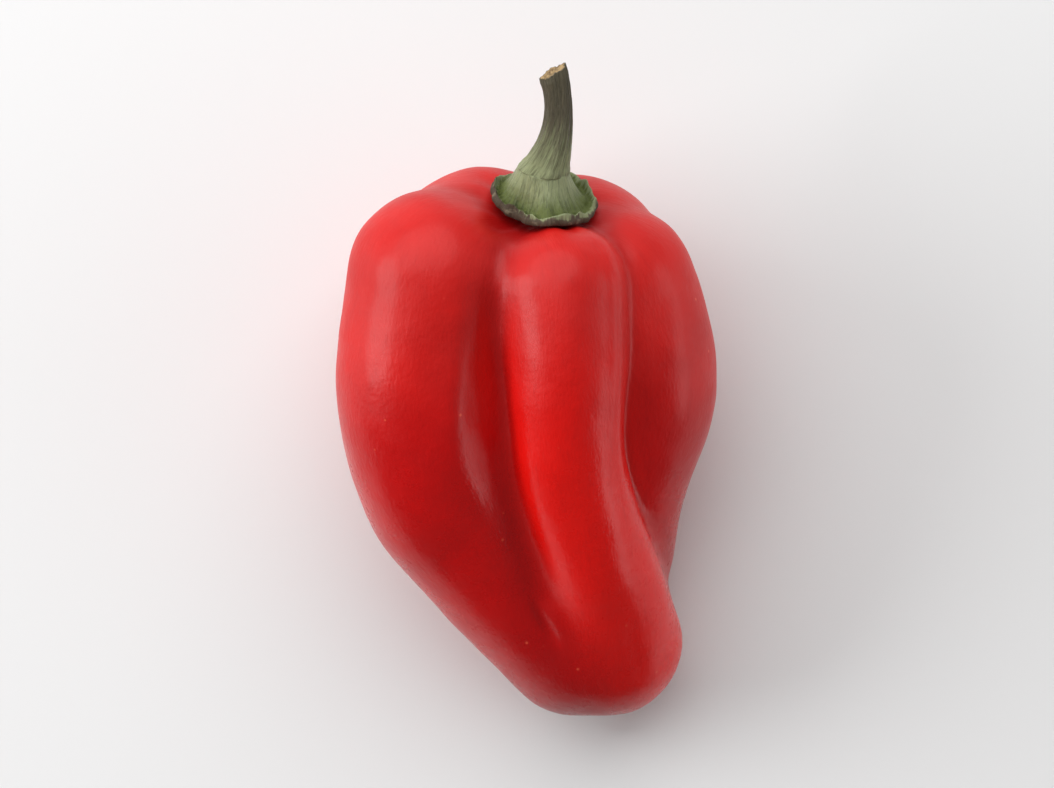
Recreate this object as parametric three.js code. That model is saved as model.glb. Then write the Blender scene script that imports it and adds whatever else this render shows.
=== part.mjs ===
// A ripe red chilli pepper of the squat, lobed kind, lying on its side as picked.
// Millimetres, +Z up. The stem points along +Y, the blossom end along -Y, and +X is to the right
// when the pod is looked down on. The origin is under the middle of the whole pepper, on the
// surface that it lies on.
//
// The pod is one solid: swollen lobes round a core, joined by creases. The calyx is a green
// collar with a toothed rim that follows the pod's shoulders, and the ribbed stem stands on it.
import * as THREE from "three";

// Each lobe is a round ridge that runs down the pod. A station gives where it is along the pod
// (y), the middle of its round section (x, z), that section's radius (r), and how far the crease
// that joins it to the lobes before it is rounded (soft). Past its ends a lobe closes in a dome.
const LOBES = [
  { name: "core", stations: [
    { y: 8.0, x: 0.8, z: 14.4, r: 7.9, soft: 4 },
    { y: -4.0, x: 1.0, z: 11.4, r: 8.2, soft: 4 },
    { y: -13.0, x: 3.0, z: 8.8, r: 6.8, soft: 4 },
    { y: -20.6, x: 5.4, z: 6.9, r: 5.6, soft: 4 },
  ] },
  { name: "back left", stations: [
    { y: 11.0, x: -3.8, z: 11.5, r: 8.8, soft: 4 },
    { y: 4.0, x: -5.4, z: 9.5, r: 9.6, soft: 4 },
    { y: -5.0, x: -4.9, z: 9.0, r: 8.8, soft: 4 },
    { y: -13.0, x: -1.8, z: 7.4, r: 6.9, soft: 4 },
    { y: -19.0, x: 1.9, z: 6.0, r: 5.7, soft: 4 },
    { y: -22.4, x: 4.2, z: 5.0, r: 5.0, soft: 4 },
  ] },
  { name: "back right", stations: [
    { y: 11.2, x: 4.2, z: 11.4, r: 7.8, soft: 3.5 },
    { y: 3.5, x: 5.8, z: 8.3, r: 8.4, soft: 3.5 },
    { y: -5.0, x: 5.6, z: 7.8, r: 7.3, soft: 3.5 },
    { y: -14.0, x: 5.8, z: 6.8, r: 6.0, soft: 3.5 },
  ] },
  { name: "front left", stations: [
    { y: 10.0, x: -7.8, z: 17.6, r: 7.6, soft: 3.2 },
    { y: 3.0, x: -8.5, z: 16.3, r: 7.9, soft: 2.2 },
    { y: -3.0, x: -8.1, z: 14.5, r: 7.9, soft: 2.0 },
    { y: -8.5, x: -6.9, z: 12.6, r: 7.2, soft: 2.2 },
    { y: -13.0, x: -4.1, z: 10.5, r: 6.4, soft: 2.6 },
    { y: -18.0, x: 0.2, z: 8.0, r: 5.8, soft: 3.2 },
    { y: -22.4, x: 3.8, z: 6.2, r: 5.0, soft: 4 },
  ] },
  { name: "front", stations: [
    { y: 9.0, x: 2.9, z: 20.3, r: 5.8, soft: 3.0 },
    { y: 2.0, x: 3.3, z: 20.6, r: 5.1, soft: 1.6 },
    { y: -5.0, x: 3.7, z: 18.6, r: 4.7, soft: 1.4 },
    { y: -11.0, x: 5.0, z: 15.6, r: 4.7, soft: 1.7 },
    { y: -17.0, x: 6.8, z: 11.6, r: 5.1, soft: 2.8 },
    { y: -21.8, x: 7.9, z: 7.2, r: 5.7, soft: 4 },
  ] },
  { name: "right", stations: [
    { y: 9.0, x: 7.2, z: 14.0, r: 7.4, soft: 1.0 },
    { y: 3.5, x: 8.8, z: 12.4, r: 7.5, soft: 1.0 },
    { y: -2.0, x: 9.0, z: 10.8, r: 6.8, soft: 1.0 },
    { y: -8.0, x: 8.3, z: 8.8, r: 5.6, soft: 1.2 },
    { y: -13.0, x: 7.9, z: 7.2, r: 4.8, soft: 2.5 },
  ] },
];

// The skin isn't quite even: slow swells, in height and in length from one to the next.
const SWELL_HEIGHT = 0.09;
const SWELL_LENGTH = 11;

// The hollow that the calyx sits in, and the small dimple at the blossom end.
const HOLLOWS = [
  { middle: new THREE.Vector3(1.0, 16.4, 18.0), reach: 4.6, depth: 1.0 },
  { middle: new THREE.Vector3(6.0, -27.4, 5.4), reach: 1.6, depth: 0.7 },
];

// The calyx's bed: the middle of its rim, the way that the stem leaves it, and the way round it
// that is counted from the right.
const BED = new THREE.Vector3(0.9, 16.1, 18.0);
const STEM_WAY = new THREE.Vector3(0.13, 0.89, 0.42).normalize();
const BED_RIGHT = new THREE.Vector3(0, 0, 1).cross(STEM_WAY).negate().normalize();
const BED_UP = new THREE.Vector3().crossVectors(BED_RIGHT, STEM_WAY).normalize();

// The calyx: a collar that thins to a toothed rim and rises in a flare to the stem.
const CALYX = {
  radius: 4.5,
  rimThickness: 0.8,
  neckRadius: 2.15,
  neckHeight: 3.6,
  flare: 1.8,
  teeth: 5,
  toothLength: 0.34,
  ribHeight: 0.14,
  drawnIn: 0.8,
  lifted: 0.4,
  bridging: 1,
};

// The stem: it thins from the flare, bows out on its way and leans back at its cut end.
const STEM = {
  length: 8.5,
  baseRadius: 2.05,
  endRadius: 1.02,
  thinning: 2.6,
  bow: new THREE.Vector3(0.75, 0, 0),
  lean: new THREE.Vector3(-0.35, 0.2, -1.0),
  ribs: 5,
  ribHeight: 0.09,
  ribTwist: 0.07,
  cutSlope: 0.8,
};

// Clearance between the pod, the calyx and the stem.
const GAP = 0.3;

const POD = { rings: 46, sides: 72 };
const CALYX_MESH = { rings: 16, sides: 56 };
const STEM_MESH = { rings: 14, sides: 20 };

const RED = 0xb80a08;
const GREEN = 0x71803a;
const OLIVE = 0x5c5436;

// A smooth curve through the stations' values of one measure, and how steep it is. It runs
// straight out at both ends.
function smoothThrough(stations, measure) {
  const at = stations.map((s) => s.y);
  const value = stations.map((s) => s[measure]);
  const last = at.length - 1;
  const bend = new Array(at.length).fill(0);
  const share = new Array(at.length).fill(0);
  const climb = (i) => (value[i + 1] - value[i]) / (at[i + 1] - at[i]);
  for (let i = 1; i < last; i += 1) {
    const before = at[i] - at[i - 1];
    const after = at[i + 1] - at[i];
    const weight = 2 * (before + after) - before * share[i - 1];
    share[i] = after / weight;
    bend[i] = (6 * (climb(i) - climb(i - 1)) - before * bend[i - 1]) / weight;
  }
  for (let i = last - 1; i > 0; i -= 1) bend[i] -= share[i] * bend[i + 1];
  return (y) => {
    let i = 0;
    while (i < last - 1 && y < at[i + 1]) i += 1;
    const span = at[i + 1] - at[i];
    const [u, v] = [(at[i + 1] - y) / span, (y - at[i]) / span];
    const [a, b] = [(bend[i] * span ** 2) / 6, (bend[i + 1] * span ** 2) / 6];
    const level = u * value[i] + v * value[i + 1] + a * (u ** 3 - u) + b * (v ** 3 - v);
    const slope = climb(i) + (a * (1 - 3 * u * u) + b * (3 * v * v - 1)) / span;
    return [level, slope];
  };
}

// A lobe is the skin round a row of balls, one at each y.
function makeLobe({ stations }) {
  const [x, z, r, soft] = ["x", "z", "r", "soft"].map((measure) => smoothThrough(stations, measure));
  const top = stations[0].y;
  const bottom = stations[stations.length - 1].y;
  const nearest = (y) => THREE.MathUtils.clamp(y, bottom, top);
  return {
    middle: (y) => new THREE.Vector3(x(nearest(y))[0], y, z(nearest(y))[0]),
    outside(p) {
      let y = nearest(p.y);
      let away = 0;
      for (let i = 0; i < 6; i += 1) {
        const [[ballX, slopeX], [ballZ, slopeZ], [ballR, slopeR]] = [x(y), z(y), r(y)];
        const distance = Math.hypot(p.x - ballX, p.y - y, p.z - ballZ);
        away = distance - ballR;
        const to = p.y + (p.x - ballX) * slopeX + (p.z - ballZ) * slopeZ + distance * slopeR;
        y = nearest((y + to) / 2);
      }
      return away;
    },
    soft: (p) => soft(nearest(p.y))[0],
    top,
    bottom,
  };
}

const lobes = LOBES.map(makeLobe);
const [core] = lobes;

// Joins two surfaces, with the crease between them rounded over a reach.
function joined(a, b, reach) {
  const near = Math.max(reach - Math.abs(a - b), 0) / reach;
  return Math.min(a, b) - (near ** 3 * reach) / 6;
}

function swell(p) {
  const turn = (2 * Math.PI) / SWELL_LENGTH;
  const round = Math.sin(turn * (p.x + 0.3 * p.z) + 1.1) * Math.cos(turn * (p.z - 0.4 * p.x) + 0.4);
  const along = Math.sin(0.7 * turn * (p.y + 0.5 * p.x) + 2.0);
  return SWELL_HEIGHT * (round + along);
}

// How far outside the pod's skin a point is. Bridging rounds every crease by that much more.
function outsidePod(p, bridging = 0) {
  let d = core.outside(p);
  for (const lobe of lobes.slice(1)) d = joined(d, lobe.outside(p), lobe.soft(p) + bridging);
  for (const { middle, reach, depth } of HOLLOWS) {
    d += depth * Math.exp(-((p.distanceTo(middle) / reach) ** 2));
  }
  return d + swell(p);
}

// How far along a direction from a start, inside the pod, a point is a given way off the skin.
function distanceOut(start, direction, off = 0, bridging = 0) {
  const p = new THREE.Vector3();
  const gap = (t) => outsidePod(p.copy(start).addScaledVector(direction, t), bridging) - off;
  const step = 0.4;
  let near = 0;
  let far = step;
  while (gap(far) < 0) {
    near = far;
    far += step;
  }
  for (let i = 0; i < 20; i += 1) {
    const middle = (near + far) / 2;
    if (gap(middle) < 0) near = middle;
    else far = middle;
  }
  return far;
}

// The volume in a closed surface, which is negative where its faces look inwards.
function volumeOf(points, faces) {
  const normal = new THREE.Vector3();
  let volume = 0;
  for (let i = 0; i < faces.length; i += 3) {
    const [a, b, c] = [points[faces[i]], points[faces[i + 1]], points[faces[i + 2]]];
    volume += normal.crossVectors(a, b).dot(c) / 6;
  }
  return volume;
}

// A closed surface of rings. place(u, angle) gives its points, and it comes to a point at u = 0
// and at u = 1.
function closedSurface({ rings, sides }, place) {
  const points = [place(0, 0)];
  for (let i = 1; i < rings; i += 1) {
    for (let j = 0; j < sides; j += 1) points.push(place(i / rings, (2 * Math.PI * j) / sides));
  }
  points.push(place(1, 0));
  const last = points.length - 1;
  const corner = (i, j) => {
    if (i === 0) return 0;
    return i === rings ? last : 1 + (i - 1) * sides + (j % sides);
  };
  const faces = [];
  for (let i = 0; i < rings; i += 1) {
    for (let j = 0; j < sides; j += 1) {
      if (i > 0) faces.push(corner(i, j), corner(i + 1, j), corner(i, j + 1));
      if (i < rings - 1) faces.push(corner(i, j + 1), corner(i + 1, j), corner(i + 1, j + 1));
    }
  }
  if (volumeOf(points, faces) < 0) faces.reverse();
  const geometry = new THREE.BufferGeometry().setFromPoints(points);
  geometry.setIndex(faces);
  geometry.computeVertexNormals();
  return geometry;
}

function piece(name, geometry, color, roughness) {
  const material = new THREE.MeshStandardMaterial({ color, roughness, metalness: 0 });
  const mesh = new THREE.Mesh(geometry, material);
  mesh.name = name;
  return mesh;
}

// The pod: rays go out to the skin from points down the core. The flesh is pressed level where
// it meets the surface that it lies on.
function makePod() {
  const pole = core.middle(core.top).sub(core.middle(core.bottom)).normalize();
  const turn = new THREE.Quaternion().setFromUnitVectors(new THREE.Vector3(0, 1, 0), pole);
  return closedSurface(POD, (u, angle) => {
    const y = THREE.MathUtils.lerp(core.top, core.bottom, THREE.MathUtils.smoothstep(u, 0.08, 0.96));
    const way = new THREE.Vector3().setFromSphericalCoords(1, Math.PI * u, angle).applyQuaternion(turn);
    const start = core.middle(y);
    const skin = start.clone().addScaledVector(way, distanceOut(start, way));
    skin.z = Math.max(skin.z, 0);
    return skin;
  });
}

// A point by its distance from the stem's line, the angle round it and its height over the bed.
function overBed(radius, angle, height) {
  return BED.clone()
    .addScaledVector(BED_RIGHT, radius * Math.cos(angle))
    .addScaledVector(BED_UP, radius * Math.sin(angle))
    .addScaledVector(STEM_WAY, height);
}

// How high over the bed the calyx clears the pod.
function clearHeight(radius, angle) {
  const depth = 7;
  return distanceOut(overBed(radius, angle, -depth), STEM_WAY, GAP, CALYX.bridging) - depth;
}

// How near an angle is to the front left, where the rim is drawn in and lifted, 0 to 1.
function frontLeft(angle) {
  return Math.exp(3 * (Math.cos(angle - 2.2) - 1));
}

function rimRadius(angle) {
  const uneven = 1.1 * Math.cos(angle) - 0.9 * Math.cos(3 * angle);
  const tooth = 0.6 * Math.cos(CALYX.teeth * angle) + uneven;
  return CALYX.radius + CALYX.toothLength * tooth - CALYX.drawnIn * frontLeft(angle);
}

// The calyx, from the middle of its top out over the rim and back in under it.
function makeCalyx() {
  return closedSurface(CALYX_MESH, (u, angle) => {
    const rim = rimRadius(angle);
    if (u < 0.13) return overBed((CALYX.neckRadius * u) / 0.125, angle, CALYX.neckHeight);
    if (u < 0.7) {
      const out = (u - 0.125) / 0.5;
      const radius = THREE.MathUtils.lerp(CALYX.neckRadius, rim, Math.min(out, 1));
      const flare = Math.max(1 - out, 0) ** CALYX.flare;
      const rib = CALYX.ribHeight * Math.cos(CALYX.teeth * angle) * 4 * out * Math.max(1 - out, 0);
      const lift = CALYX.lifted * frontLeft(angle) * Math.min(out, 1) ** 2;
      const collar = clearHeight(radius, angle) + CALYX.rimThickness * (out > 1 ? 0.5 : 1) + lift;
      return overBed(radius, angle, THREE.MathUtils.lerp(collar, CALYX.neckHeight, flare) + rib);
    }
    const radius = rim * 0.95 * ((1 - u) / 0.3);
    return overBed(radius, angle, clearHeight(radius, angle));
  });
}

// The stem, from the middle of its base up the ribbed side and in over the cut end.
function makeStem() {
  const { rings } = STEM_MESH;
  return closedSurface(STEM_MESH, (u, angle) => {
    const along = THREE.MathUtils.clamp((u * rings - 1) / (rings - 2), 0, 1);
    const rise = STEM.length * along;
    const shape = STEM.endRadius + (STEM.baseRadius - STEM.endRadius) * Math.exp(-rise / STEM.thinning);
    const rib = STEM.ribHeight * Math.cos(STEM.ribs * (angle + STEM.ribTwist * rise));
    const radius = u === 0 || u === 1 ? 0 : shape + rib;
    const cut = along ** 4 * STEM.cutSlope * radius * Math.cos(angle);
    return overBed(radius, angle, CALYX.neckHeight + GAP + rise + cut)
      .addScaledVector(STEM.bow, 4 * along * (1 - along))
      .addScaledVector(STEM.lean, along ** 2);
  });
}

const group = new THREE.Group();
group.add(piece("pod", makePod(), RED, 0.35));
group.add(piece("calyx", makeCalyx(), GREEN, 0.6));
group.add(piece("stem", makeStem(), OLIVE, 0.7));

const box = new THREE.Box3().setFromObject(group, true);
const middle = box.getCenter(new THREE.Vector3());
group.position.set(-middle.x, -middle.y, -box.min.z);

export default group;
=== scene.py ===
"""A ripe red chilli pepper of the squat, lobed kind, lying on its side.

The pod, the calyx and the stem are sculpted from the same measures as the solids, much finer, with
the small folds, ribs, fibres and skin that the solids leave out. Their shapes are worked out in
millimetres in the frame of those measures, and placed in metres.
"""

import logging
import math
from dataclasses import dataclass, field
from enum import Enum
from typing import Callable

import bmesh
import bpy
import numpy as np
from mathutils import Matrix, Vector


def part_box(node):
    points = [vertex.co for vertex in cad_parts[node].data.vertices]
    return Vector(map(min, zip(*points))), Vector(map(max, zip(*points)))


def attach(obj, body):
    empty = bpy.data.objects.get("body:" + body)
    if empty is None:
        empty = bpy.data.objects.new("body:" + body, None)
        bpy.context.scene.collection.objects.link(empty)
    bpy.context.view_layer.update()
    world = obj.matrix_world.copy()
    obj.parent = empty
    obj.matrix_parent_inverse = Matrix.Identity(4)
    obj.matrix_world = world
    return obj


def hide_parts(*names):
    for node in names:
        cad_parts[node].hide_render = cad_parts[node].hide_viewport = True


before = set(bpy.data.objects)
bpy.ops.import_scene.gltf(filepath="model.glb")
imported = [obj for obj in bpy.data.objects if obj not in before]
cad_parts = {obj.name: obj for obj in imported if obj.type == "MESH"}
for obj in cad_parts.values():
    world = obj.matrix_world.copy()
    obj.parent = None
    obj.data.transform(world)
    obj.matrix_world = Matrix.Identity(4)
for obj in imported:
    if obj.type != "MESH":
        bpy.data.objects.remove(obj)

log = logging.getLogger("chilli")

Colour = tuple[float, float, float]
Points = np.ndarray
Sculpt = Callable[[np.ndarray, np.ndarray], tuple[Points, dict[str, np.ndarray]]]

MM = 0.001


def share(value: np.ndarray, start: float, end: float) -> np.ndarray:
    """Gives how far each value is on the way from start to end, 0 to 1."""
    return np.clip((value - start) / (end - start), 0.0, 1.0)


def bell(value: np.ndarray, middle: float, width: float) -> np.ndarray:
    """Gives a hump, one high in the middle."""
    return np.exp(-(((value - middle) / width) ** 2))


def smoothstep(value: np.ndarray, low: float, high: float) -> np.ndarray:
    """Rises smoothly from 0 at low to 1 at high.

    Args:
        value: what is measured.
        low: where the rise starts.
        high: where it ends.

    Returns:
        The rise, from 0 to 1.
    """
    t = share(value, low, high)
    return t * t * (3.0 - 2.0 * t)


def unit(vectors: Points) -> Points:
    """Gives each vector a length of one."""
    return vectors / np.linalg.norm(vectors, axis=-1, keepdims=True)


class SmoothCurve:
    """A smooth curve through rows of values, which runs straight out at both ends."""

    def __init__(self, places: np.ndarray, values: np.ndarray) -> None:
        """Works out how the curve bends at each place.

        Args:
            places: where the values are, in rising order.
            values: one row of values for each place.
        """
        self.at, self.value = places, values
        span = np.diff(places)
        climb = np.diff(values, axis=0) / span[:, None]
        weights = np.eye(len(places))
        pull = np.zeros_like(values)
        for i in range(1, len(places) - 1):
            weights[i, i - 1 : i + 2] = span[i - 1], 2.0 * (span[i - 1] + span[i]), span[i]
            pull[i] = 6.0 * (climb[i] - climb[i - 1])
        self.bend = np.linalg.solve(weights, pull)

    def __call__(self, place: np.ndarray) -> tuple[np.ndarray, np.ndarray]:
        """Reads the curve.

        Args:
            place: where to read it.

        Returns:
            The row of values at each place, and how steep each value is there.
        """
        i = np.clip(np.searchsorted(self.at, place) - 1, 0, len(self.at) - 2)
        span = (self.at[i + 1] - self.at[i])[:, None]
        v = (place - self.at[i])[:, None] / span
        u = 1.0 - v
        a, b = self.bend[i] * span**2 / 6.0, self.bend[i + 1] * span**2 / 6.0
        low, high = self.value[i], self.value[i + 1]
        level = u * low + v * high + a * (u**3 - u) + b * (v**3 - v)
        slope = (high - low + a * (1.0 - 3.0 * u * u) + b * (3.0 * v * v - 1.0)) / span
        return level, slope


@dataclass(frozen=True)
class Unevenness:
    """Gentle waves in every direction, the same each time they are made.

    Attributes:
        length: the mean length of a wave, in millimetres.
        seed: which of the many patterns it is.
        waves: how many waves it adds up.
    """

    length: float
    seed: int
    waves: int = 14

    def at(self, points: Points) -> np.ndarray:
        """Reads the waves.

        Args:
            points: where, in millimetres.

        Returns:
            A height at each point, mostly between -1 and 1.
        """
        draw = np.random.default_rng(self.seed)
        ways = unit(draw.normal(size=(self.waves, 3)))
        turns = 2.0 * math.pi / (self.length * draw.uniform(0.6, 1.6, self.waves))
        start = draw.uniform(0.0, 2.0 * math.pi, self.waves)
        return np.sin(points @ ways.T * turns + start).sum(axis=1) / math.sqrt(self.waves)


@dataclass(frozen=True)
class Ripple:
    """Waves round a piece.

    Attributes:
        waves: how many go round, how high they are and where they start, for each set.
    """

    waves: tuple[tuple[float, float, float], ...]

    def at(self, angle: np.ndarray) -> np.ndarray:
        """Gives the height of the waves at each angle."""
        return sum(height * np.cos(count * angle + start) for count, height, start in self.waves)


@dataclass(frozen=True)
class Lobe:
    """A round ridge down the pod: the skin round a row of balls, one at each y.

    Attributes:
        rows: y, x, z, radius and how softly its crease is rounded, from the stem end down.
    """

    rows: tuple[tuple[float, float, float, float, float], ...]
    curve: SmoothCurve = field(init=False, repr=False)

    def __post_init__(self) -> None:
        """Makes the curve through the rows."""
        rows = np.array(self.rows)[::-1]
        object.__setattr__(self, "curve", SmoothCurve(rows[:, 0], rows[:, 1:]))

    def inside_ends(self, y: np.ndarray) -> np.ndarray:
        """Keeps y between the lobe's first and last ball."""
        return np.clip(y, self.rows[-1][0], self.rows[0][0])

    def middle(self, y: np.ndarray) -> Points:
        """Gives the middle of the ball at each y."""
        level, _ = self.curve(self.inside_ends(y))
        return np.stack([level[:, 0], y, level[:, 1]], axis=1)

    def outside(self, p: Points) -> np.ndarray:
        """Measures how far outside the lobe each point is.

        Args:
            p: the points.

        Returns:
            The distance from the nearest ball's skin, negative inside it.
        """
        y = self.inside_ends(p[:, 1])
        away = np.zeros(len(p))
        for _ in range(4):
            ball, slope = self.curve(y)
            dx, dz = p[:, 0] - ball[:, 0], p[:, 2] - ball[:, 1]
            distance = np.sqrt(dx * dx + (p[:, 1] - y) ** 2 + dz * dz)
            away = distance - ball[:, 2]
            to = p[:, 1] + dx * slope[:, 0] + dz * slope[:, 1] + distance * slope[:, 2]
            y = self.inside_ends((y + to) / 2.0)
        return away

    def soft(self, p: Points) -> np.ndarray:
        """Gives how far the lobe's crease is rounded beside each point."""
        return self.curve(self.inside_ends(p[:, 1]))[0][:, 3]


CORE = Lobe(
    (
        (8.0, 0.8, 14.4, 7.9, 4.0),
        (-4.0, 1.0, 11.4, 8.2, 4.0),
        (-13.0, 3.0, 8.8, 6.8, 4.0),
        (-20.6, 5.4, 6.9, 5.6, 4.0),
    )
)
BACK_LEFT = Lobe(
    (
        (11.0, -3.8, 11.5, 8.8, 4.0),
        (4.0, -5.4, 9.5, 9.6, 4.0),
        (-5.0, -4.9, 9.0, 8.8, 4.0),
        (-13.0, -1.8, 7.4, 6.9, 4.0),
        (-19.0, 1.9, 6.0, 5.7, 4.0),
        (-22.4, 4.2, 5.0, 5.0, 4.0),
    )
)
BACK_RIGHT = Lobe(
    (
        (11.2, 4.2, 11.4, 7.8, 3.5),
        (3.5, 5.8, 8.3, 8.4, 3.5),
        (-5.0, 5.6, 7.8, 7.3, 3.5),
        (-14.0, 5.8, 6.8, 6.0, 3.5),
    )
)
FRONT_LEFT = Lobe(
    (
        (10.0, -7.8, 17.6, 7.6, 3.2),
        (3.0, -8.5, 16.3, 7.9, 2.2),
        (-3.0, -8.1, 14.5, 7.9, 2.0),
        (-8.5, -6.9, 12.6, 7.2, 2.2),
        (-13.0, -4.1, 10.5, 6.4, 2.6),
        (-18.0, 0.2, 8.0, 5.8, 3.2),
        (-22.4, 3.8, 6.2, 5.0, 4.0),
    )
)
FRONT = Lobe(
    (
        (9.0, 2.9, 20.3, 5.8, 3.0),
        (2.0, 3.3, 20.6, 5.1, 1.6),
        (-5.0, 3.7, 18.6, 4.7, 1.4),
        (-11.0, 5.0, 15.6, 4.7, 1.7),
        (-17.0, 6.8, 11.6, 5.1, 2.8),
        (-21.8, 7.9, 7.2, 5.7, 4.0),
    )
)
RIGHT = Lobe(
    (
        (9.0, 7.2, 14.0, 7.4, 1.0),
        (3.5, 8.8, 12.4, 7.5, 1.0),
        (-2.0, 9.0, 10.8, 6.8, 1.0),
        (-8.0, 8.3, 8.8, 5.6, 1.2),
        (-13.0, 7.9, 7.2, 4.8, 2.5),
    )
)


@dataclass(frozen=True)
class Hollow:
    """A round dip in the skin, in millimetres.

    Attributes:
        middle: where it is.
        reach: how far it reaches.
        depth: how deep it is.
    """

    middle: tuple[float, float, float]
    reach: float
    depth: float

    def away(self, p: Points) -> np.ndarray:
        """Gives how far each point is from the middle."""
        return np.linalg.norm(p - np.array(self.middle), axis=1)

    def dip(self, p: Points) -> np.ndarray:
        """Gives how deep the dip is at each point."""
        return self.depth * bell(self.away(p), 0.0, self.reach)


BED_HOLLOW = Hollow((1.0, 16.4, 18.0), 4.6, 1.0)
BLOSSOM_HOLLOW = Hollow((6.0, -27.4, 5.4), 1.6, 0.7)


@dataclass(frozen=True)
class PodShape:
    """The pod's skin as a measure of how far outside it any point is.

    Attributes:
        lobes: the lobes that join the core, in the order that they join it.
        hollows: the dips in the skin.
        swell_height: how high the slow swells of the skin are.
        swell_length: how long they are.
    """

    lobes: tuple[Lobe, ...] = (BACK_LEFT, BACK_RIGHT, FRONT_LEFT, FRONT, RIGHT)
    hollows: tuple[Hollow, ...] = (BED_HOLLOW, BLOSSOM_HOLLOW)
    swell_height: float = 0.09
    swell_length: float = 11.0

    def swell(self, p: Points) -> np.ndarray:
        """Gives the slow swells of the skin.

        Args:
            p: the points.

        Returns:
            The height of the swells at each point.
        """
        turn = 2.0 * math.pi / self.swell_length
        x, y, z = p.T
        round_it = np.sin(turn * (x + 0.3 * z) + 1.1) * np.cos(turn * (z - 0.4 * x) + 0.4)
        return self.swell_height * (round_it + np.sin(0.7 * turn * (y + 0.5 * x) + 2.0))

    def outside(self, p: Points, bridging: float = 0.0) -> np.ndarray:
        """Measures how far outside the skin each point is.

        Args:
            p: the points.
            bridging: how much more every crease is rounded.

        Returns:
            The distance, negative inside the pod.
        """
        d = CORE.outside(p)
        for lobe in self.lobes:
            other = lobe.outside(p)
            reach = lobe.soft(p) + bridging
            near = np.maximum(reach - np.abs(d - other), 0.0) / reach
            d = np.minimum(d, other) - near**3 * reach / 6.0
        for hollow in self.hollows:
            d += hollow.dip(p)
        return d + self.swell(p)

    def way_out(self, start: Points, way: Points, off: float = 0.0, bridging: float = 0.0) -> np.ndarray:
        """Finds how far out along a direction the skin is.

        Args:
            start: points inside the pod.
            way: the direction from each, one long.
            off: how far off the skin to stop.
            bridging: how much more every crease is rounded.

        Returns:
            The distance along each direction.
        """
        t = np.full(len(start), 0.4)
        for _ in range(15):
            t -= self.outside(start + way * t[:, None], bridging) - off
        return t

    def crease(self, p: Points) -> np.ndarray:
        """Gives how deep in a crease each point of the skin is, from 0 to 1."""
        return smoothstep(self.outside(p) - self.outside(p, 3.0), 0.35, 1.1)


def even_ball(cuts: int) -> bmesh.types.BMesh:
    """Makes a ball of even squares, with no poles.

    Args:
        cuts: how finely it is cut, along and across.

    Returns:
        The ball.
    """
    bm = bmesh.new()
    bmesh.ops.create_cube(bm, size=2.0)
    bmesh.ops.subdivide_edges(bm, edges=bm.edges[:], cuts=cuts, use_grid_fill=True)
    for vert in bm.verts:
        vert.co = [math.tan(0.25 * math.pi * c) for c in vert.co]
    return bm


def ringed_ball(sides: int, rings: int) -> bmesh.types.BMesh:
    """Makes a ball of rings from pole to pole.

    Args:
        sides: how many sides each ring has.
        rings: how many rings it has.

    Returns:
        The ball.
    """
    bm = bmesh.new()
    bmesh.ops.create_uvsphere(bm, u_segments=sides, v_segments=rings, radius=1.0)
    return bm


def sculpt(name: str, bm: bmesh.types.BMesh, shape: Sculpt) -> bmesh.types.BMesh:
    """Makes a closed piece from a ball by moving each of its points.

    Args:
        name: the piece, for the log.
        bm: the ball.
        shape: gives the points and what is painted on them, from how far each is from the first
            pole to the last, 0 to 1, and its angle.

    Returns:
        The piece, in metres, with its paint in float layers.
    """
    ball = unit(np.array([v.co[:] for v in bm.verts]))
    u = np.arccos(np.clip(ball[:, 2], -1.0, 1.0)) / math.pi
    angle = np.arctan2(ball[:, 1], ball[:, 0])
    points, paint = shape(u, angle)
    layers = bm.verts.layers
    for title, values in paint.items():
        layer = layers.float_vector.new(title) if values.ndim == 2 else layers.float.new(title)
        for vert, value in zip(bm.verts, values.tolist()):
            vert[layer] = value
    for vert, point in zip(bm.verts, (points * MM).tolist()):
        vert.co = point
    if bm.calc_volume(signed=True) < 0.0:
        bmesh.ops.reverse_faces(bm, faces=bm.faces[:])
    log.info("%s: %d points", name, len(bm.verts))
    return bm


class Finishing(Enum):
    """How a piece's faces are shaded."""

    SMOOTH = True
    FLAT = False


def settle(bm: bmesh.types.BMesh, name: str, shading: Finishing = Finishing.SMOOTH) -> bpy.types.Object:
    """Turns a finished bmesh into an object in the scene.

    Args:
        bm: the shape, which is freed.
        name: the object's name.
        shading: smooth or flat.

    Returns:
        The object, at the origin.
    """
    mesh = bpy.data.meshes.new(name)
    for face in bm.faces:
        face.smooth = shading.value
    bm.to_mesh(mesh)
    bm.free()
    piece = bpy.data.objects.new(name, mesh)
    bpy.context.scene.collection.objects.link(piece)
    return piece


@dataclass(frozen=True)
class Fold:
    """A small groove, or a ridge if its height is positive, on the upper side of the pod.

    Attributes:
        line: x and y of its points, in millimetres.
        width: how wide it is.
        height: how high it stands.
    """

    line: tuple[tuple[float, float], ...]
    width: float
    height: float

    def lift(self, p: Points, up: np.ndarray) -> np.ndarray:
        """Gives how far the fold lifts the skin.

        Args:
            p: points of the skin.
            up: how much each point faces up.

        Returns:
            The lift at each point.
        """
        nearest = np.full(len(p), 1e9)
        along = np.zeros(len(p))
        count = len(self.line) - 1
        for i in range(count):
            a, b = np.array(self.line[i]), np.array(self.line[i + 1])
            t = np.clip((p[:, :2] - a) @ (b - a) / ((b - a) @ (b - a)), 0.0, 1.0)
            far = np.linalg.norm(p[:, :2] - (a + t[:, None] * (b - a)), axis=1)
            closer = far < nearest
            along = np.where(closer, (i + t) / count, along)
            nearest = np.where(closer, far, nearest)
        taper = np.sin(np.clip(along, 0.02, 0.98) * math.pi)
        return self.height * taper * bell(nearest, 0.0, self.width) * smoothstep(up, 0.1, 0.5)


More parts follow.
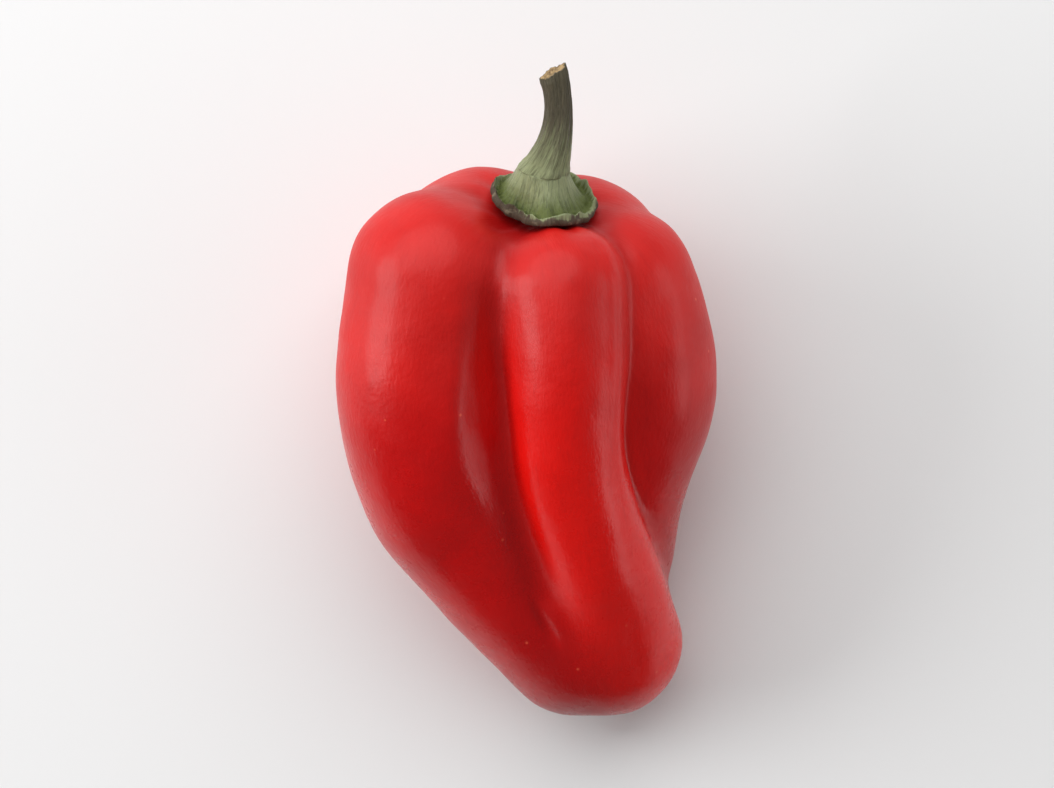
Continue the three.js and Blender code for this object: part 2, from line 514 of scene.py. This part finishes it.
@dataclass
class Pod:
    """The red fruit.

    Attributes:
        shape: its skin.
        cuts: how finely its skin is cut, along and across.
        folds: the small folds on its upper side.
        puckers: how deep the skin is drawn in round the calyx.
        pucker_waves: how unevenly it is.
        pucker_ring: how far from the stem's line the puckers are, and how wide their ring is.
        scar: how high the scar at the blossom end stands, and how wide it is.
        dry: how wide the dry skin round it is.
        pressed: how softly the flesh is pressed level where it lies.
    """

    shape: PodShape = field(default_factory=PodShape)
    cuts: int = 92
    folds: tuple[Fold, ...] = (
        Fold(
            ((-4.6, 9.5), (-5.8, 5.3), (-6.2, 0.3), (-6.3, -3.9), (-5.5, -7.1), (-3.3, -11.8)),
            1.0,
            0.17,
        ),
        Fold(
            ((-3.6, 8.5), (-4.3, 4.0), (-4.4, 0.0), (-4.0, -4.0), (-2.9, -8.0), (-1.0, -12.0)),
            1.4,
            -0.18,
        ),
        Fold(
            ((4.6, 14.4), (6.6, 12.6), (7.5, 9.5), (7.6, 4.0), (7.5, -3.0), (8.1, -8.2), (9.0, -11.8)),
            0.55,
            0.24,
        ),
        Fold(((0.3, -17.6), (1.6, -20.0), (2.9, -22.0)), 0.45, -0.28),
        Fold(((1.3, -17.4), (2.5, -19.6), (3.8, -21.6)), 0.6, 0.16),
        Fold(((8.6, -20.0), (9.6, -23.0), (9.8, -25.4)), 0.6, -0.1),
    )
    puckers: float = 0.16
    pucker_waves: Ripple = Ripple(((9.0, 0.6, 0.7), (14.0, 0.4, 2.0)))
    pucker_ring: tuple[float, float] = (4.6, 1.9)
    scar: tuple[float, float] = (0.35, 0.55)
    dry: float = 0.7
    pressed: float = 0.12

    def skin(self, u: np.ndarray, angle: np.ndarray) -> tuple[Points, dict[str, np.ndarray]]:
        """Sculpts the skin from rays that go out from points down the core.

        Args:
            u: how far each ray is from the stem end, 0 to 1.
            angle: its angle.

        Returns:
            The points of the skin, and the paint on them.
        """
        top, tip = CORE.rows[0][0], CORE.rows[-1][0]
        ends = CORE.middle(np.array([top, tip]))
        turn = Vector((0.0, 1.0, 0.0)).rotation_difference(Vector(ends[0] - ends[1]))
        polar = math.pi * u
        aside = np.sin(polar)
        way = np.stack([aside * np.sin(angle), np.cos(polar), aside * np.cos(angle)], axis=1)
        way = way @ np.array(turn.to_matrix()).T
        start = CORE.middle(top + (tip - top) * smoothstep(u, 0.08, 0.96))
        p = start + way * self.shape.way_out(start, way)[:, None]
        # The crease measure is painted on the skin as shade in its creases.
        crease = self.shape.crease(p)
        scar = np.exp(-((BLOSSOM_HOLLOW.away(p) / self.dry) ** 6))
        normal = self.normals(p)
        p = p + normal * self.relief(p, normal)[:, None]
        p[:, 2] = (p[:, 2] + np.sqrt(p[:, 2] ** 2 + self.pressed**2)) / 2.0
        p[:, 2] -= p[:, 2].min()
        grain = np.stack([4.0 * np.sin(angle), 0.09 * p[:, 1], 4.0 * np.cos(angle)], axis=1)
        to_tip = smoothstep(-p[:, 1], -14.0, 27.0)
        # The crest marks where the skin's material paints light along the front lobe.
        crest = 1.0 - smoothstep(FRONT.outside(p), 0.3, 2.0)
        return p, {"crease": crease, "scar": scar, "grain": grain, "to_tip": to_tip, "crest": crest}

    def normals(self, p: Points) -> Points:
        """Gives the way that the skin faces.

        Args:
            p: points of the skin.

        Returns:
            The way out from the skin at each, one long.
        """
        step = 0.05  # how far apart the skin is felt
        base = self.shape.outside(p)
        slopes = [self.shape.outside(p + step * np.eye(3)[i]) - base for i in range(3)]
        return unit(np.stack(slopes, axis=1))

    def relief(self, p: Points, normal: Points) -> np.ndarray:
        """Gives how far the skin's small forms stand out.

        Args:
            p: points of the skin.
            normal: the way that it faces.

        Returns:
            The height of the small forms at each point.
        """
        lift = sum(fold.lift(p, normal[:, 2]) for fold in self.folds)
        lift = lift + 0.03 * Unevenness(6.0, 11).at(p) + 0.006 * Unevenness(1.8, 12).at(p)
        from_bed = p - np.array(BED.middle)
        across = from_bed - (from_bed @ BED.out)[:, None] * BED.out
        radius = np.linalg.norm(across, axis=1)
        turn = np.arctan2(across @ BED.up, across @ BED.right)
        draw = self.pucker_waves.at(turn) - 0.3
        ring, width = self.pucker_ring
        near = bell(radius, ring, width) * (from_bed @ BED.out > -6.0)
        high, wide = self.scar
        scar = high * np.exp(-((BLOSSOM_HOLLOW.away(p) / wide) ** 4))
        return lift + self.puckers * draw * near + scar

    def build(self) -> bmesh.types.BMesh:
        """Makes the pod."""
        return sculpt("pod", even_ball(self.cuts), self.skin)


@dataclass(frozen=True)
class CalyxBed:
    """Where the calyx sits on the pod, and which way the stem leaves it.

    Attributes:
        middle: the middle of the calyx rim.
        lean: the way that the stem leaves it.
    """

    middle: tuple[float, float, float] = (0.9, 16.1, 18.0)
    lean: tuple[float, float, float] = (0.13, 0.89, 0.42)

    @property
    def out(self) -> np.ndarray:
        """The way out from the pod."""
        return unit(np.array(self.lean))

    @property
    def right(self) -> np.ndarray:
        """The way to the right across the bed."""
        return unit(np.cross(self.out, (0.0, 0.0, 1.0)))

    @property
    def up(self) -> np.ndarray:
        """The way across the bed that the angles turn towards."""
        return np.cross(self.right, self.out)

    def over(self, radius: np.ndarray, angle: np.ndarray, height: np.ndarray) -> Points:
        """Places points over the bed.

        Args:
            radius: how far each is from the stem's line.
            angle: its angle round that line.
            height: how high it is over the bed.

        Returns:
            The points.
        """
        side = np.cos(angle)[:, None] * self.right + np.sin(angle)[:, None] * self.up
        radius, height = (np.broadcast_to(v, angle.shape)[:, None] for v in (radius, height))
        return np.array(self.middle) + side * radius + self.out * height


BED = CalyxBed()


@dataclass
class Calyx:
    """The green collar with its toothed, browned rim.

    Attributes:
        shape: the skin of the pod that it lies on.
        radius: from the stem's line to the rim.
        thickness: how thick the rim is.
        neck: the radius where the stem stands.
        height: from the bed to the neck.
        flare: how fast it falls away from the neck.
        teeth: how many teeth the rim has.
        tooth: how long they are.
        rim_waves: how unevenly the rim runs, in lengths of a tooth.
        rib: how high the ribs to the teeth are.
        veins: the fine ribs between them.
        lip: how high the lip along the rim stands.
        groove: how deep the groove inside it is.
        crimps: how unevenly the lip stands.
        drawn_in: how far the rim is drawn in at the front left.
        lifted: how far it is lifted there.
        curl: how far it curls up elsewhere.
        top_ends: how far from pole to pole its top reaches.
        face_ends: how far its upper face does.
        edge_ends: how far its edge does, where its underside starts.
    """

    shape: PodShape = field(default_factory=PodShape)
    radius: float = 4.5
    thickness: float = 0.62
    neck: float = 2.15
    height: float = 3.6
    flare: float = 1.8
    teeth: int = 5
    tooth: float = 0.34
    rim_waves: Ripple = Ripple(
        ((5.0, 0.6, 0.0), (1.0, 1.1, 0.0), (3.0, -0.75, 0.0), (13.0, 0.2, 1.0), (23.0, 0.15, 2.0))
    )
    rib: float = 0.16
    veins: Ripple = Ripple(((13.0, 0.05, 0.4),))
    lip: float = 0.3
    groove: float = 0.2
    crimps: Ripple = Ripple(((5.0, 0.5, 2.0), (11.0, 0.35, 0.0), (19.0, 0.2, 0.0)))
    drawn_in: float = 0.8
    lifted: float = 0.4
    curl: float = 0.07
    top_ends: float = 0.06
    face_ends: float = 0.68
    edge_ends: float = 0.78

    def front_left(self, angle: np.ndarray) -> np.ndarray:
        """Gives how near each angle is to the front left, 0 to 1."""
        return np.exp(3.0 * (np.cos(angle - 2.2) - 1.0))

    def rim(self, angle: np.ndarray) -> np.ndarray:
        """Gives the radius of the rim at each angle."""
        whole = self.radius + self.tooth * self.rim_waves.at(angle)
        return whole - self.drawn_in * self.front_left(angle)

    def skin_height(self, radius: np.ndarray, angle: np.ndarray) -> np.ndarray:
        """Gives how high over the bed the pod's skin is.

        Args:
            radius: how far from the stem's line to measure it.
            angle: the angle round that line.

        Returns:
            The height of the skin at each.
        """
        depth = 7.0
        start = BED.over(radius, angle, np.full(len(angle), -depth))
        way = np.broadcast_to(BED.out, start.shape)
        return self.shape.way_out(start, way, 0.05, 1.0) - depth

    def collar(self, u: np.ndarray, angle: np.ndarray) -> tuple[Points, dict[str, np.ndarray]]:
        """Sculpts the collar, from the middle of its top out over the rim and back in under it.

        Args:
            u: how far along that way each point is, 0 to 1.
            angle: its angle round the stem.

        Returns:
            The points, and the paint on them.
        """
        rim = self.rim(angle)
        out = share(u, self.top_ends, self.face_ends)
        edge = share(u, self.face_ends, self.edge_ends)
        under = share(u, self.edge_ends, 1.0)
        radius = self.neck + (rim - self.neck) * out
        radius = np.where(u < self.top_ends, self.neck * u / self.top_ends, radius)
        radius = radius + 0.3 * self.thickness * np.sin(math.pi * edge) * (under <= 0.0)
        radius = np.where(under > 0.0, rim * (1.0 - under), radius)
        floor = self.skin_height(radius, angle)
        flare = (1.0 - out) ** self.flare
        spread = 4.0 * out * (1.0 - out)
        ribs = (self.rib * np.cos(self.teeth * angle) + self.veins.at(angle)) * spread
        lip = self.lip * bell(out, 0.95, 0.07) * (1.0 + self.crimps.at(angle))
        lip = lip - self.groove * bell(out, 0.76, 0.1)
        top = (floor + self.thickness + lip) * (1.0 - flare) + self.height * flare + ribs
        thick = self.thickness * 0.5 * (1.0 + np.cos(math.pi * edge))
        height = np.where(edge > 0.0, floor + thick, top)
        height = np.where(under > 0.0, floor, height)
        curl = self.curl * (1.0 + np.cos(2.0 * angle + 0.6)) * smoothstep(out, 0.7, 1.0)
        curl = curl + self.lifted * self.front_left(angle) * smoothstep(out, 0.4, 1.0)
        p = BED.over(radius, angle, height + curl * (1.0 - under))
        rough = 0.035 * Unevenness(1.1, 21).at(p) + 0.02 * Unevenness(0.45, 22).at(p)
        p = p + BED.out * (rough * smoothstep(out, 0.05, 0.5) * (1.0 - under))[:, None]
        worn = 0.14 * bell(np.mod(angle + 0.3, 2.0 * math.pi), 3.1, 0.7)
        browned = out * (1.0 + worn) + 0.2 * edge + 0.2 * under
        grain = np.stack([3.0 * np.cos(angle), 3.0 * np.sin(angle), 0.7 * out], axis=1)
        return p, {"out": browned, "grain": grain}

    def build(self) -> bmesh.types.BMesh:
        """Makes the calyx."""
        return sculpt("calyx", ringed_ball(240, 90), self.collar)


@dataclass
class Stem:
    """The ribbed stalk with its oblique cut end.

    Attributes:
        start: how high over the bed it starts.
        length: how long it is.
        base: its radius where it stands on the calyx.
        end: its radius at the cut.
        thinning: how fast it thins.
        bow: how far it bows out half way, in x, y and z.
        lean: how far the cut end leans back.
        ribs: how many ribs it has.
        rib: how high they are.
        slope: how oblique the cut is.
        base_ends: how far from pole to pole its base reaches.
        side_ends: how far its side does, where the cut starts.
    """

    start: float = 3.46
    length: float = 8.9
    base: float = 2.2
    end: float = 1.02
    thinning: float = 2.6
    bow: tuple[float, float, float] = (0.75, 0.0, 0.0)
    lean: tuple[float, float, float] = (-0.35, 0.2, -1.0)
    ribs: int = 5
    rib: float = 0.1
    slope: float = 0.8
    base_ends: float = 0.04
    side_ends: float = 0.8

    def stalk(self, u: np.ndarray, angle: np.ndarray) -> tuple[Points, dict[str, np.ndarray]]:
        """Sculpts the stalk, from the middle of its base up its side and in over the cut.

        Args:
            u: how far along that way each point is, 0 to 1.
            angle: its angle round the stem.

        Returns:
            The points, and the paint on them.
        """
        along = share(u, self.base_ends, self.side_ends)
        inward = share(u, self.side_ends, 1.0)
        rise = self.length * along
        width = self.end + (self.base - self.end) * np.exp(-rise / self.thinning)
        twist = angle + 0.07 * rise
        ribs = self.rib * (np.abs(np.cos(self.ribs * twist / 2.0)) - 0.6) * 1.6
        fibres = 0.022 * np.cos(13.0 * twist + 0.8) + 0.014 * np.cos(23.0 * twist + 0.3 * rise)
        ring = 0.03 * bell(rise, 0.35, 0.25) - 0.03 * bell(rise, 0.8, 0.3)
        worn = 0.06 * smoothstep(along, 0.93, 1.0)
        radius = (width + ribs + fibres + ring - worn) * (1.0 - inward)
        radius = np.where(u < self.base_ends, self.base * u / self.base_ends, radius)
        cut = along**4 * self.slope * radius * np.cos(angle)
        frayed = 0.09 * np.cos(11.0 * angle + 1.0) * np.cos(7.0 * angle)
        frayed = frayed * smoothstep(along, 0.97, 1.0)
        pith = 0.16 * smoothstep(inward, 0.1, 0.5) * (inward > 0.0)
        p = BED.over(radius, angle, self.start + rise + cut + frayed * (1.0 - inward) - pith)
        p = p + np.outer(4.0 * along * (1.0 - along), self.bow) + np.outer(along**2, self.lean)
        rough = 0.02 * Unevenness(0.9, 31).at(p)
        rough = rough + 0.05 * Unevenness(0.35, 32).at(p) * (inward > 0.05)
        p = p + BED.out * rough[:, None] * smoothstep(u, 0.05, 0.2)[:, None]
        grain = np.stack([2.0 * np.cos(twist), 2.0 * np.sin(twist), 0.12 * rise], axis=1)
        return p, {"along": along, "cut": smoothstep(inward, 0.02, 0.16), "grain": grain}

    def build(self) -> bmesh.types.BMesh:
        """Makes the stem."""
        return sculpt("stem", ringed_ball(120, 120), self.stalk)


class Paint:
    """One material's nodes, added and joined by a few plain calls."""

    def __init__(self, name: str) -> None:
        """Starts a material of one surface shader.

        Args:
            name: the material's name.
        """
        self.material = bpy.data.materials.new(name)
        self.material.use_nodes = True
        self.nodes = self.material.node_tree.nodes
        self.links = self.material.node_tree.links
        self.surface = self.nodes["Principled BSDF"]

    def put(self, node: bpy.types.Node, name: str | int, value: object) -> None:
        """Gives a socket a value, or joins another node's output to it.

        Args:
            node: the node that has the socket.
            name: the socket's name or number.
            value: a number, a colour or another node's output.
        """
        socket = node.inputs[name]
        if isinstance(value, bpy.types.NodeSocket):
            self.links.new(value, socket)
        elif socket.type == "RGBA":
            socket.default_value = (*value, 1.0)
        else:
            socket.default_value = value

    def set(self, **values: object) -> None:
        """Sets the surface shader's sockets, with an underscore for each space."""
        for name, value in values.items():
            self.put(self.surface, name.replace("_", " "), value)

    def place(self) -> bpy.types.NodeSocket:
        """Gives the place on the piece, in metres."""
        return self.nodes.new("ShaderNodeTexCoord").outputs["Object"]

    def painted(self, title: str, vector: bool = False) -> bpy.types.NodeSocket:
        """Gives what is painted on the piece's points.

        Args:
            title: the title that it is painted under.
            vector: whether it is a place and not a number.

        Returns:
            The paint.
        """
        node = self.nodes.new("ShaderNodeAttribute")
        node.attribute_name = title
        return node.outputs["Vector" if vector else "Fac"]

    def noise(
        self, where: bpy.types.NodeSocket, scale: float, detail: float = 2.0, rough: float = 0.5
    ) -> bpy.types.NodeSocket:
        """Gives soft noise.

        Args:
            where: the place that it is read at.
            scale: how many features to a unit.
            detail: how many finer layers it has.
            rough: how strong those are.

        Returns:
            The noise, from 0 to 1.
        """
        node = self.nodes.new("ShaderNodeTexNoise")
        sockets = {"Vector": where, "Scale": scale, "Detail": detail, "Roughness": rough}
        for name, value in sockets.items():
            self.put(node, name, value)
        return node.outputs["Fac"]

    def spots(self, where: bpy.types.NodeSocket, scale: float) -> bpy.types.NodeSocket:
        """Scatters points.

        Args:
            where: the place that they are read at.
            scale: how many points to a unit.

        Returns:
            The distance from the nearest point.
        """
        node = self.nodes.new("ShaderNodeTexVoronoi")
        self.put(node, "Vector", where)
        self.put(node, "Scale", scale)
        return node.outputs["Distance"]

    def spread(
        self,
        value: bpy.types.NodeSocket,
        low: float,
        high: float,
        to_low: float = 0.0,
        to_high: float = 1.0,
    ) -> bpy.types.NodeSocket:
        """Stretches a value from low and high to two others, smoothly and no further.

        Args:
            value: what is stretched.
            low: its low end.
            high: its high end.
            to_low: what the low end becomes.
            to_high: what the high end becomes.

        Returns:
            The stretched value.
        """
        node = self.nodes.new("ShaderNodeMapRange")
        node.interpolation_type = "SMOOTHSTEP"
        for i, number in enumerate((value, low, high, to_low, to_high)):
            self.put(node, i, number)
        return node.outputs["Result"]

    def sum(self, kind: str, a: object, b: object) -> bpy.types.NodeSocket:
        """Works out one sum.

        Args:
            kind: the sum, such as ADD or MULTIPLY.
            a: its first number.
            b: its second number.

        Returns:
            What it comes to.
        """
        node = self.nodes.new("ShaderNodeMath")
        node.operation = kind
        self.put(node, 0, a)
        self.put(node, 1, b)
        return node.outputs[0]

    def blend(self, under: object, over: object, share: object) -> bpy.types.NodeSocket:
        """Lays one colour over another.

        Args:
            under: the colour below.
            over: the colour above.
            share: how much of it covers.

        Returns:
            The blended colour.
        """
        node = self.nodes.new("ShaderNodeMix")
        node.data_type = "RGBA"
        self.put(node, 0, share)
        self.put(node, 6, under)
        self.put(node, 7, over)
        return node.outputs[2]

    def bump(self, height: bpy.types.NodeSocket, depth: float) -> None:
        """Gives the surface a fine relief.

        Args:
            height: the relief, from 0 to 1.
            depth: how deep it is, in metres.
        """
        node = self.nodes.new("ShaderNodeBump")
        self.put(node, "Height", height)
        self.put(node, "Strength", 1.0)
        self.put(node, "Distance", depth)
        self.put(self.surface, "Normal", node.outputs["Normal"])


@dataclass(frozen=True)
class WaxySkin:
    """The pod's taut, waxy red skin.

    Attributes:
        ripe: its red.
        deep: the darker red of its patches and streaks, and of the painted shade in its creases.
        lit_shoulder: the lighter, pinker red painted on its shoulders as light from above.
        lit_crest: the brighter red painted along the crest of its highest lobe as light falling on it.
        speck: its fine pale specks.
        scar: the dry scar at the blossom end.
    """

    ripe: Colour = (0.56, 0.0018, 0.0018)
    deep: Colour = (0.31, 0.0004, 0.0010)
    lit_shoulder: Colour = (0.58, 0.0065, 0.0040)
    lit_crest: Colour = (0.78, 0.0060, 0.0030)
    speck: Colour = (0.80, 0.12, 0.06)
    scar: Colour = (0.15, 0.062, 0.022)

    def make(self) -> bpy.types.Material:
        """Makes the skin's material.

        Returns:
            The material.
        """
        paint = Paint("waxy_skin")
        where, grain = paint.place(), paint.painted("grain", vector=True)
        patches = paint.spread(paint.noise(where, 130.0, 3.0), 0.35, 0.7, 0.0, 0.3)
        streaks = paint.noise(grain, 5.0, 4.0, 0.6)
        lower = paint.spread(paint.painted("to_tip"), 0.0, 0.5)
        # Painted light: the shoulders near the stem take a lighter, pinker red, blending to the ripe red
        # towards the tip.
        colour = paint.blend(self.lit_shoulder, self.ripe, lower)
        colour = paint.blend(colour, self.deep, patches)
        # Painted light: the crest of the front lobe turns a brighter red in its lower half, where the
        # light falls on it.
        lit_crest = paint.sum("MULTIPLY", paint.painted("crest"), paint.sum("MULTIPLY", lower, 0.75))
        colour = paint.blend(colour, self.lit_crest, lit_crest)
        colour = paint.blend(colour, self.deep, paint.spread(streaks, 0.5, 0.8, 0.0, 0.2))
        # Painted shade: the creases are darkened towards the deep red, where shade falls in them.
        colour = paint.blend(colour, self.deep, paint.sum("MULTIPLY", paint.painted("crease"), 0.8))
        dots = paint.spread(paint.spots(where, 420.0), 0.03, 0.075, 0.6, 0.0)
        some = paint.spread(paint.noise(where, 300.0), 0.5, 0.6)
        colour = paint.blend(colour, self.speck, paint.sum("MULTIPLY", dots, some))
        flaky = paint.spread(paint.noise(where, 1900.0), 0.3, 0.6, 0.4, 1.0)
        dry = paint.sum("MULTIPLY", paint.painted("scar"), flaky)
        colour = paint.blend(colour, self.scar, dry)
        dull = paint.sum("MAXIMUM", paint.noise(where, 340.0, 4.0, 0.65), dry)
        shine = paint.spread(paint.painted("to_tip"), 0.0, 0.6, 0.47, 0.24)
        paint.set(
            Base_Color=colour,
            Roughness=paint.sum("ADD", paint.spread(dull, 0.3, 0.75, 0.0, 0.1), shine),
            Subsurface_Weight=0.12,
            Subsurface_Radius=(1.0, 0.16, 0.08),
            Subsurface_Scale=0.0012,
            IOR=1.46,
            Specular_IOR_Level=0.32,
            Coat_Weight=0.13,
            Coat_Roughness=0.2,
        )
        pores = paint.sum("MULTIPLY", paint.noise(where, 2600.0, 2.0), 0.25)
        waves = paint.sum("MULTIPLY", paint.noise(where, 620.0, 2.0), 0.8)
        lines = paint.sum("MULTIPLY", paint.noise(grain, 16.0, 2.0), 0.45)
        paint.bump(paint.sum("ADD", paint.sum("ADD", pores, waves), lines), 0.00007)
        return paint.material


@dataclass(frozen=True)
class CollarFlesh:
    """The calyx: pale green by the stem, olive further out, with a pale lip and a dry brown edge.

    Attributes:
        neck: its green by the stem.
        olive: its green further out.
        dark: its veins.
        lip: its pale lip.
        brown: its dry edge.
        pale: the frayed fibres of the edge.
    """

    neck: Colour = (0.26, 0.29, 0.14)
    olive: Colour = (0.09, 0.115, 0.018)
    dark: Colour = (0.036, 0.046, 0.011)
    lip: Colour = (0.25, 0.28, 0.15)
    brown: Colour = (0.062, 0.042, 0.024)
    pale: Colour = (0.24, 0.20, 0.13)

    def make(self) -> bpy.types.Material:
        """Makes the calyx's material.

        Returns:
            The material.
        """
        paint = Paint("collar_flesh")
        where, grain = paint.place(), paint.painted("grain", vector=True)
        ragged = paint.spread(paint.noise(grain, 3.2, 3.0, 0.6), 0.2, 0.8, -0.07, 0.07)
        out = paint.sum("ADD", paint.painted("out"), ragged)
        colour = paint.blend(self.neck, self.olive, paint.spread(out, 0.1, 0.6))
        veins = paint.spread(paint.noise(grain, 6.0, 4.0, 0.6), 0.45, 0.7, 0.0, 0.55)
        colour = paint.blend(colour, self.dark, veins)
        colour = paint.blend(colour, self.lip, paint.spread(out, 0.84, 0.93, 0.0, 0.8))
        colour = paint.blend(colour, self.brown, paint.spread(out, 0.97, 1.04))
        fray = paint.spread(paint.noise(where, 1500.0, 3.0), 0.54, 0.7, 0.0, 0.6)
        frayed = paint.sum("MULTIPLY", paint.spread(out, 1.0, 1.1), fray)
        colour = paint.blend(colour, self.pale, frayed)
        paint.set(
            Base_Color=colour,
            Roughness=paint.spread(out, 0.3, 1.1, 0.48, 0.85),
            Subsurface_Weight=0.06,
            Subsurface_Radius=(0.5, 0.6, 0.15),
            Subsurface_Scale=0.0008,
        )
        creases = paint.sum("MULTIPLY", paint.noise(grain, 9.0, 4.0, 0.6), 1.0)
        fine = paint.sum("MULTIPLY", paint.noise(where, 2400.0, 3.0), 0.5)
        paint.bump(paint.sum("ADD", creases, fine), 0.00016)
        return paint.material


@dataclass(frozen=True)
class StalkBark:
    """The stem: green at its foot, olive brown further up, with a pale fibrous cut.

    Attributes:
        foot: its green at the foot.
        olive: its brown further up.
        dark: the lines between its fibres.
        cut_pale: the fibres' cut ends.
        cut_dark: what is between them.
    """

    foot: Colour = (0.24, 0.265, 0.125)
    olive: Colour = (0.072, 0.058, 0.026)
    dark: Colour = (0.024, 0.019, 0.009)
    cut_pale: Colour = (0.49, 0.33, 0.15)
    cut_dark: Colour = (0.16, 0.095, 0.04)

    def make(self) -> bpy.types.Material:
        """Makes the stem's material.

        Returns:
            The material.
        """
        paint = Paint("stalk_bark")
        where, grain = paint.place(), paint.painted("grain", vector=True)
        patchy = paint.spread(paint.noise(grain, 2.5, 3.0), 0.2, 0.8, -0.18, 0.18)
        along = paint.sum("ADD", paint.painted("along"), patchy)
        colour = paint.blend(self.foot, self.olive, paint.spread(along, 0.05, 0.6))
        fibres = paint.spread(paint.noise(grain, 8.0, 4.0, 0.65), 0.42, 0.72, 0.0, 0.7)
        colour = paint.blend(colour, self.dark, fibres)
        ends = paint.noise(where, 2200.0, 3.0, 0.6)
        cut = paint.blend(self.cut_pale, self.cut_dark, paint.spread(ends, 0.4, 0.7))
        colour = paint.blend(colour, cut, paint.painted("cut"))
        paint.set(Base_Color=colour, Roughness=paint.spread(fibres, 0.0, 0.7, 0.5, 0.8))
        lines = paint.sum("MULTIPLY", paint.noise(grain, 11.0, 4.0, 0.65), 1.0)
        fine = paint.sum("MULTIPLY", paint.noise(where, 3000.0, 3.0), 0.4)
        paint.bump(paint.sum("ADD", lines, fine), 0.00014)
        return paint.material


@dataclass(frozen=True)
class TableTop:
    """The plain pale surface that the pepper lies on.

    Attributes:
        white: its colour.
        shade: its slightly darker patches.
    """

    white: Colour = (0.80, 0.80, 0.80)
    shade: Colour = (0.74, 0.74, 0.74)

    def make(self) -> bpy.types.Material:
        """Makes the surface's material.

        Returns:
            The material.
        """
        paint = Paint("table_top")
        tone = paint.spread(paint.noise(paint.place(), 3.0), 0.3, 0.7, 0.0, 0.03)
        paint.set(Base_Color=paint.blend(self.white, self.shade, tone), Roughness=0.6)
        return paint.material


@dataclass
class Pepper:
    """The whole pepper: pod, calyx and stem.

    Attributes:
        pod: the fruit.
        calyx: the collar on it.
        stem: the stalk on the collar.
    """

    pod: Pod = field(default_factory=Pod)
    calyx: Calyx = field(default_factory=Calyx)
    stem: Stem = field(default_factory=Stem)

    def place(self) -> None:
        """Builds the three pieces where the solids are, and dresses them."""
        fruit = self.pod.build()
        low, high = (np.array(corner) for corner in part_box("pod"))
        own = np.array([v.co for v in fruit.verts])
        shift = (low + high) / 2.0 - (own.min(axis=0) + own.max(axis=0)) / 2.0
        shift[2] = 0.0  # all of it stays on the table
        parts = (
            ("pod", "pod_skin", "skin", fruit, WaxySkin()),
            ("calyx", "calyx_flesh", "calyx", self.calyx.build(), CollarFlesh()),
            ("stem", "stem_flesh", "stem", self.stem.build(), StalkBark()),
        )
        for node, name, slot, shape, finish in parts:
            bmesh.ops.translate(shape, verts=shape.verts[:], vec=Vector(shift))
            piece = settle(shape, name)
            piece.data.materials.append(finish.make())
            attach(piece, "root")
            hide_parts(node)
            log.info("%s stands for %s", piece.name, node)


@dataclass(frozen=True)
class Lamp:
    """An oval soft light, in metres and watts.

    Attributes:
        name: its name.
        place: where it hangs.
        size: how wide and how long it is.
        power: how strong it is.
        aim: the place that it is turned to.
    """

    name: str
    place: tuple[float, float, float]
    size: tuple[float, float]
    power: float
    aim: tuple[float, float, float] = (0.0, 0.0, 0.012)

    def hang(self) -> None:
        """Hangs the light and turns it to the pepper."""
        light = bpy.data.lights.new(self.name, "AREA")
        light.shape = "ELLIPSE"
        light.size, light.size_y = self.size
        light.energy = self.power
        lamp = bpy.data.objects.new(self.name, light)
        lamp.location = self.place
        way = Vector(self.aim) - Vector(self.place)
        lamp.rotation_euler = way.to_track_quat("-Z", "Y").to_euler()
        bpy.context.scene.collection.objects.link(lamp)


@dataclass
class Studio:
    """The pale table, the soft lights, the room's light and the camera.

    Attributes:
        lamps: the soft lights.
        room: the brightness of the room.
        table_radius: how far the table reaches, in metres.
        lens: the camera's focal length, in millimetres.
        view_height: how much the picture's height takes in, in metres.
        view_shape: how many times wider than high the picture is.
        in_view: how high over the table that is measured, in metres.
    """

    lamps: tuple[Lamp, ...] = (
        Lamp("top_light", (-0.10, 0.38, 0.42), (1.05, 0.72), 4.2),
        Lamp("left_light", (-0.42, 0.04, 0.21), (0.36, 0.26), 1.45),
        Lamp("right_light", (0.46, -0.04, 0.12), (0.60, 0.16), 0.6),
    )
    room: float = 0.18
    table_radius: float = 2.5
    lens: float = 180.0
    view_height: float = 0.068
    view_shape: float = 1054.0 / 788.0
    in_view: float = 0.014

    def set_up(self) -> None:
        """Lays the table, hangs the lights and sets the camera over the pepper."""
        bm = bmesh.new()
        bmesh.ops.create_circle(bm, cap_ends=True, segments=96, radius=self.table_radius)
        table = settle(bm, "table", Finishing.FLAT)
        table.data.materials.append(TableTop().make())
        for lamp in self.lamps:
            lamp.hang()
        scene = bpy.context.scene
        scene.world = bpy.data.worlds.new("room")
        scene.world.use_nodes = True
        air = scene.world.node_tree.nodes["Background"]
        air.inputs["Color"].default_value = (1.0, 1.0, 1.0, 1.0)
        air.inputs["Strength"].default_value = self.room
        scene.view_settings.view_transform = "Standard"
        self.aim_camera(scene)

    def aim_camera(self, scene: bpy.types.Scene) -> None:
        """Puts the camera straight over the pepper, with the stem to the picture's top.

        Args:
            scene: the scene that it is made for.
        """
        camera = bpy.data.cameras.new("camera")
        camera.lens = self.lens
        camera.clip_start = 0.01
        width = self.view_height * self.view_shape
        eye = bpy.data.objects.new("camera", camera)
        eye.location = (0.0, 0.0, self.in_view + self.lens * width / camera.sensor_width)
        scene.collection.objects.link(eye)
        scene.camera = eye


def main() -> None:
    """Builds the pepper and the studio."""
    logging.basicConfig(level=logging.INFO)
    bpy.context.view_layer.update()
    Pepper().place()
    Studio().set_up()


if __name__ == "__main__":
    main()
